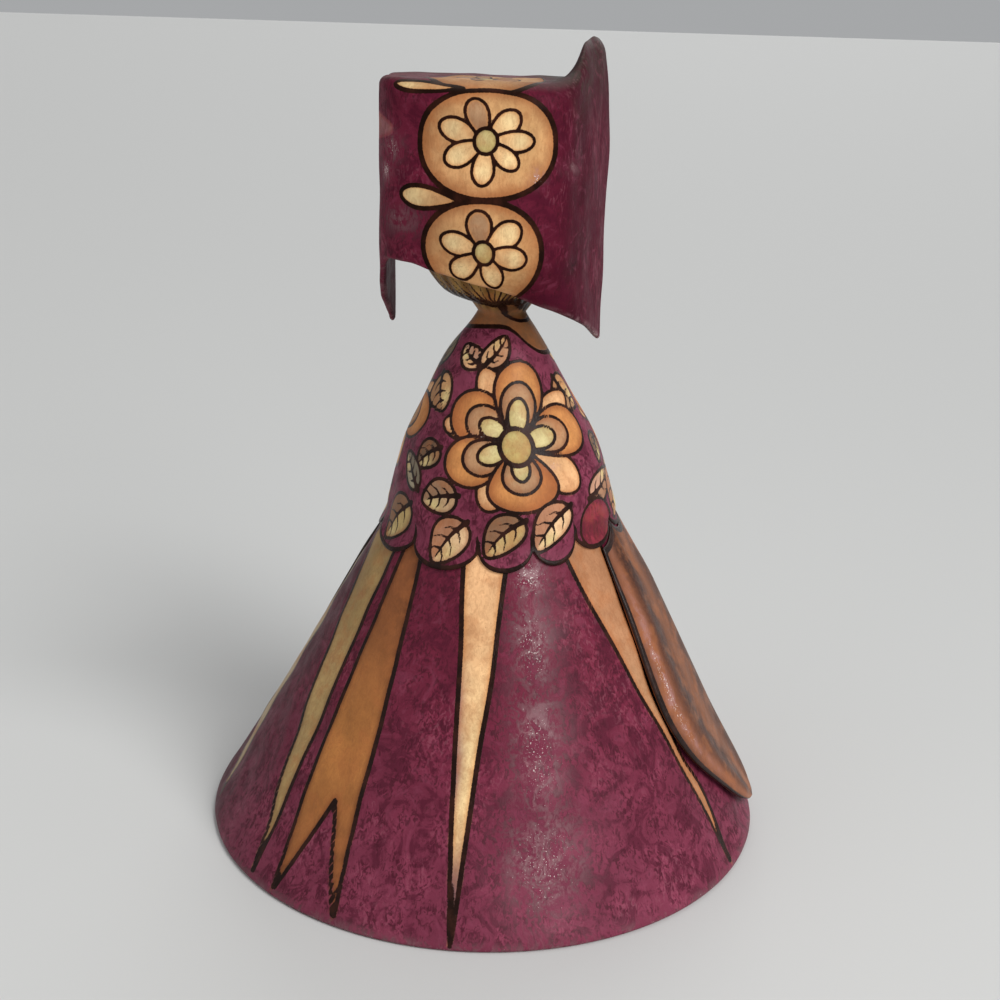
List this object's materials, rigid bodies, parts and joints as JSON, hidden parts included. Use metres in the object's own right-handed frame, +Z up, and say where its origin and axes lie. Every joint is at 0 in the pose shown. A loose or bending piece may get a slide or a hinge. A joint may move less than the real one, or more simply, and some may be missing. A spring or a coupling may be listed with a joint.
{
  "type": "papier-mache figure of a robed lady",
  "caption": "Standing figure with a conical robe, a scalloped shoulder cape, hanging sleeves and a bent sheet headdress open at the face.",
  "frame": {"origin": "middle of the flat underside of the robe, on the surface it stands on", "axes": "+Z up through the head; -Y is the side the robe faces and -X is the figure's own right side"},
  "size_m": [0.2167, 0.2168, 0.2969],
  "materials": {
    "painted_robe": "burgundy watercolour over papier-mache with ink line work, under a worn satin varnish",
    "painted_headdress": "burgundy watercolour with ochre roundels and ink line work, under a worn satin varnish",
    "painted_sleeve": "copper brown glaze shading to ochre, glossy varnish on the folds"
  },
  "bodies": {
    "root": {"robed_figure": "painted_robe", "headdress": "painted_headdress", "right_sleeve": "painted_sleeve", "left_sleeve": "painted_sleeve"}
  },
  "joints": []
}
